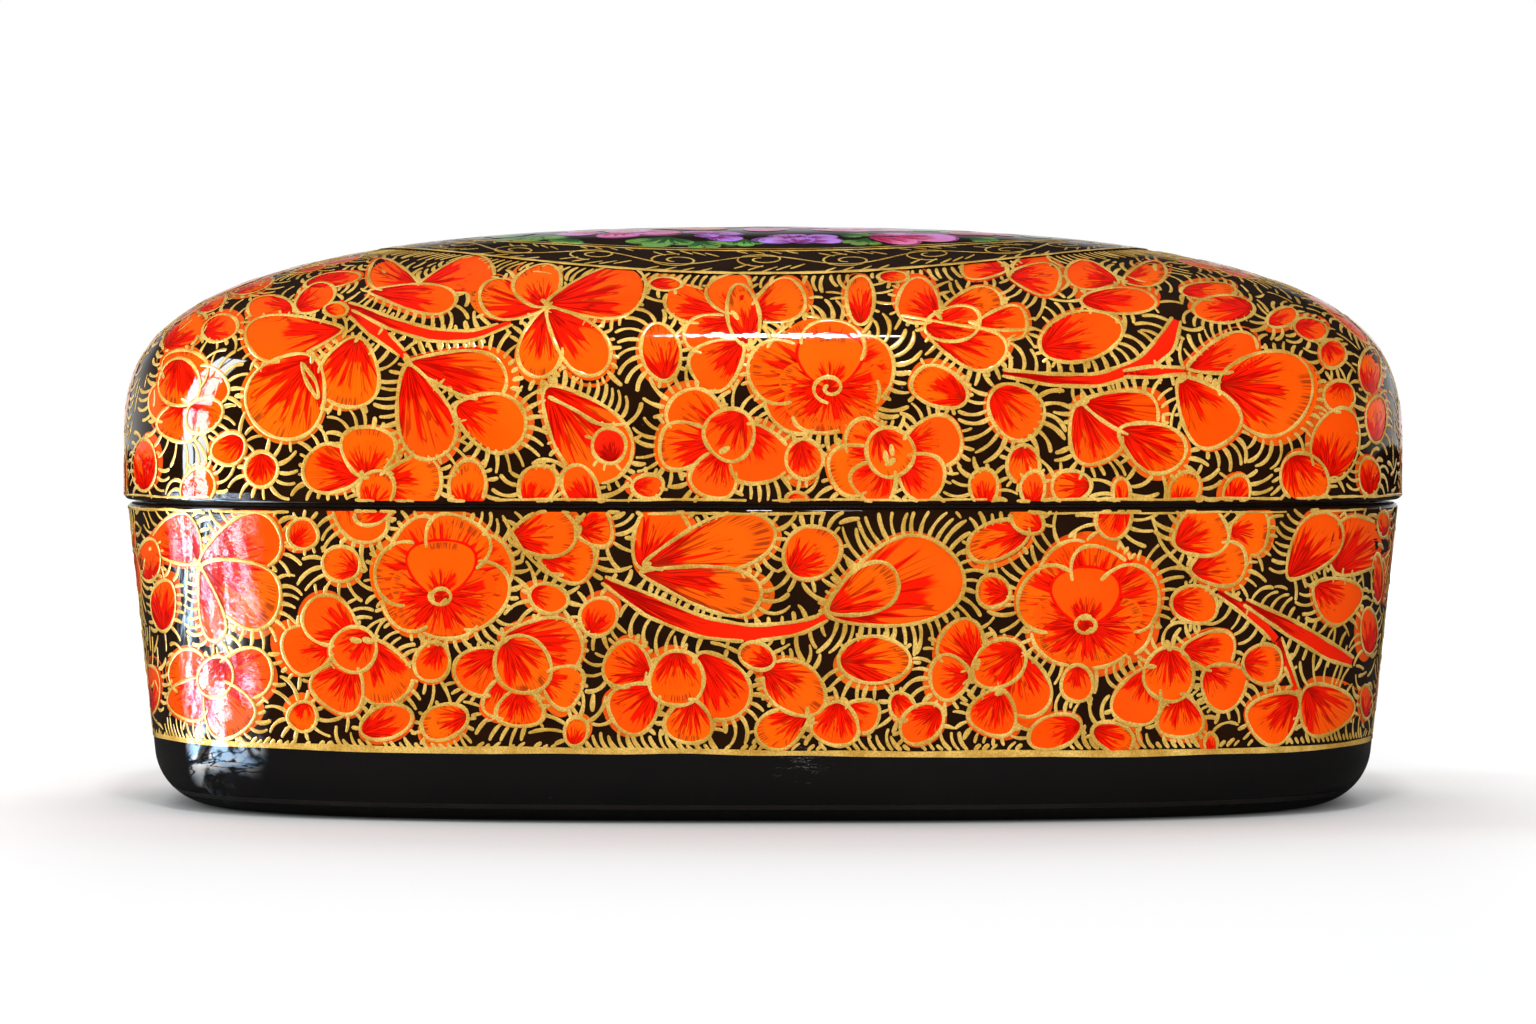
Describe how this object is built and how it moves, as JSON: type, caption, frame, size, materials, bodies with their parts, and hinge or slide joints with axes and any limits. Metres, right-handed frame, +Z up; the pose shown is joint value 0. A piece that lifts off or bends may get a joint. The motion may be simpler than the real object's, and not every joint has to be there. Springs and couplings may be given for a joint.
{
  "type": "trinket box",
  "caption": "Oval papier-mache trinket box with a loose domed lid, a tapered base and a card lip inside the rim, painted with flowers under clear lacquer.",
  "frame": {"origin": "middle of the flat underside, on the surface the box stands on", "axes": "+X along the box's long side, +Y towards its back, +Z up"},
  "size_m": [0.152, 0.1, 0.0683],
  "materials": {
    "painted_base": "gloss",
    "painted_lid": "gloss",
    "black_card": "satin"
  },
  "bodies": {
    "base": {"base_shell": "painted_base", "lip_strip": "black_card"},
    "lid": {"lid_shell": "painted_lid"}
  },
  "joints": [
    {"name": "lid_lift", "type": "slide", "parent": "base", "child": "lid", "axis": [0, 0, 1], "range_m": [0, 0.08]}
  ]
}
